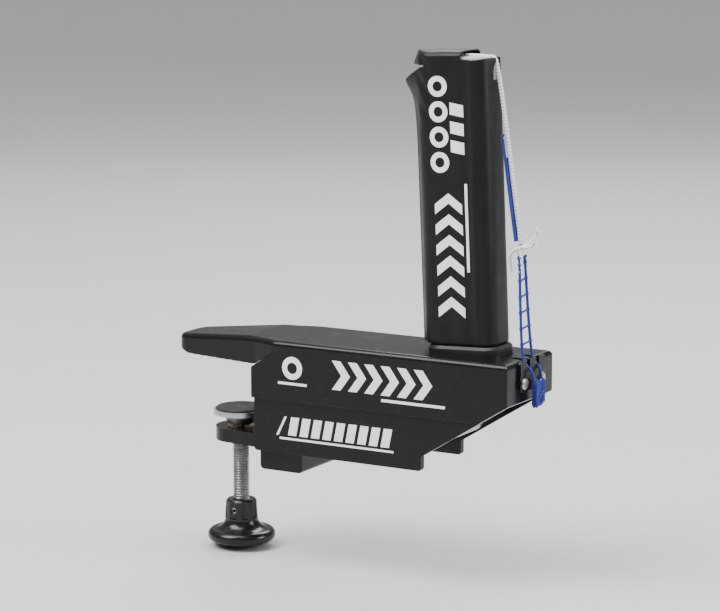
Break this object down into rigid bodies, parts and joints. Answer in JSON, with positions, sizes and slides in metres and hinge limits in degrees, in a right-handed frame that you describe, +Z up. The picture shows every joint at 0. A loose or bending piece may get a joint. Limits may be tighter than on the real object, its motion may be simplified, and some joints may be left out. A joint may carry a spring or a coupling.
{
  "type": "table tennis net clamp",
  "caption": "Screw clamp that holds a net post to a table's edge, with a sleeved post, a tension cord and a ladder strap for setting the net's height.",
  "frame": {"origin": "on the tabletop at the table's edge, in the clamp's mid-plane", "axes": "+X points outward from the table, +Y along the table's edge, +Z up; the screw and the pad are closed on a 25 mm tabletop"},
  "size_m": [0.1894, 0.0459, 0.2431],
  "materials": {
    "black_steel": "satin black powder coat",
    "zinc_steel": "zinc plated",
    "brass": "turned",
    "black_rubber": "matt",
    "black_plastic": "gloss moulded",
    "pale_plastic": "satin moulded",
    "black_vinyl": "soft vinyl on cloth",
    "white_cord": "braided cord",
    "blue_cord": "woven ladder cord"
  },
  "bodies": {
    "bracket": {"upper_channel": "black_steel", "jaw_core_bar": "black_steel", "jaw_pad": "black_rubber", "foot_backing_plate": "black_steel", "side_plate_near": "black_steel", "side_plate_far": "black_steel", "front_web": "black_steel", "edge_bumper": "black_rubber", "lower_jaw_arm": "black_steel", "screw_bush": "brass", "spacer_posts": "zinc_steel", "far_plate_screws": "zinc_steel", "strap_catch": "black_steel", "catch_rivets": "zinc_steel", "post_tube": "black_steel", "post_collar": "black_plastic", "post_base_plug": "black_plastic", "foot_washers": "zinc_steel", "foot_bolts": "zinc_steel", "post_cap": "pale_plastic", "net_sleeve": "black_vinyl", "tension_cord": "white_cord", "cord_stop_knot": "white_cord", "cord_knot": "white_cord", "cord_knot_tails": "white_cord", "ladder_strand_near": "blue_cord", "ladder_strand_far": "blue_cord", "ladder_rungs": "blue_cord", "ladder_tail_bundle": "blue_cord", "ladder_top_tail": "blue_cord"},
    "pad": {"pressure_pad": "zinc_steel", "pad_rubber": "black_rubber"},
    "screw": {"clamp_screw": "zinc_steel", "screw_knob": "black_plastic", "knob_pin": "zinc_steel", "knob_plug": "black_plastic"}
  },
  "joints": [
    {"name": "pad_lift", "type": "slide", "parent": "bracket", "child": "pad", "axis": [0, 0, 1], "range_m": [-0.0012, 0.024]},
    {"name": "screw_turn", "type": "hinge", "parent": "pad", "child": "screw", "pos_m": [-0.02, 0, -0.05], "axis": [0, 0, 1], "range_deg": [-346, 6913]}
  ],
  "couplings": [
    {"joint": "screw_turn", "follows": "pad_lift", "rad_per_m": 5026.5}
  ]
}
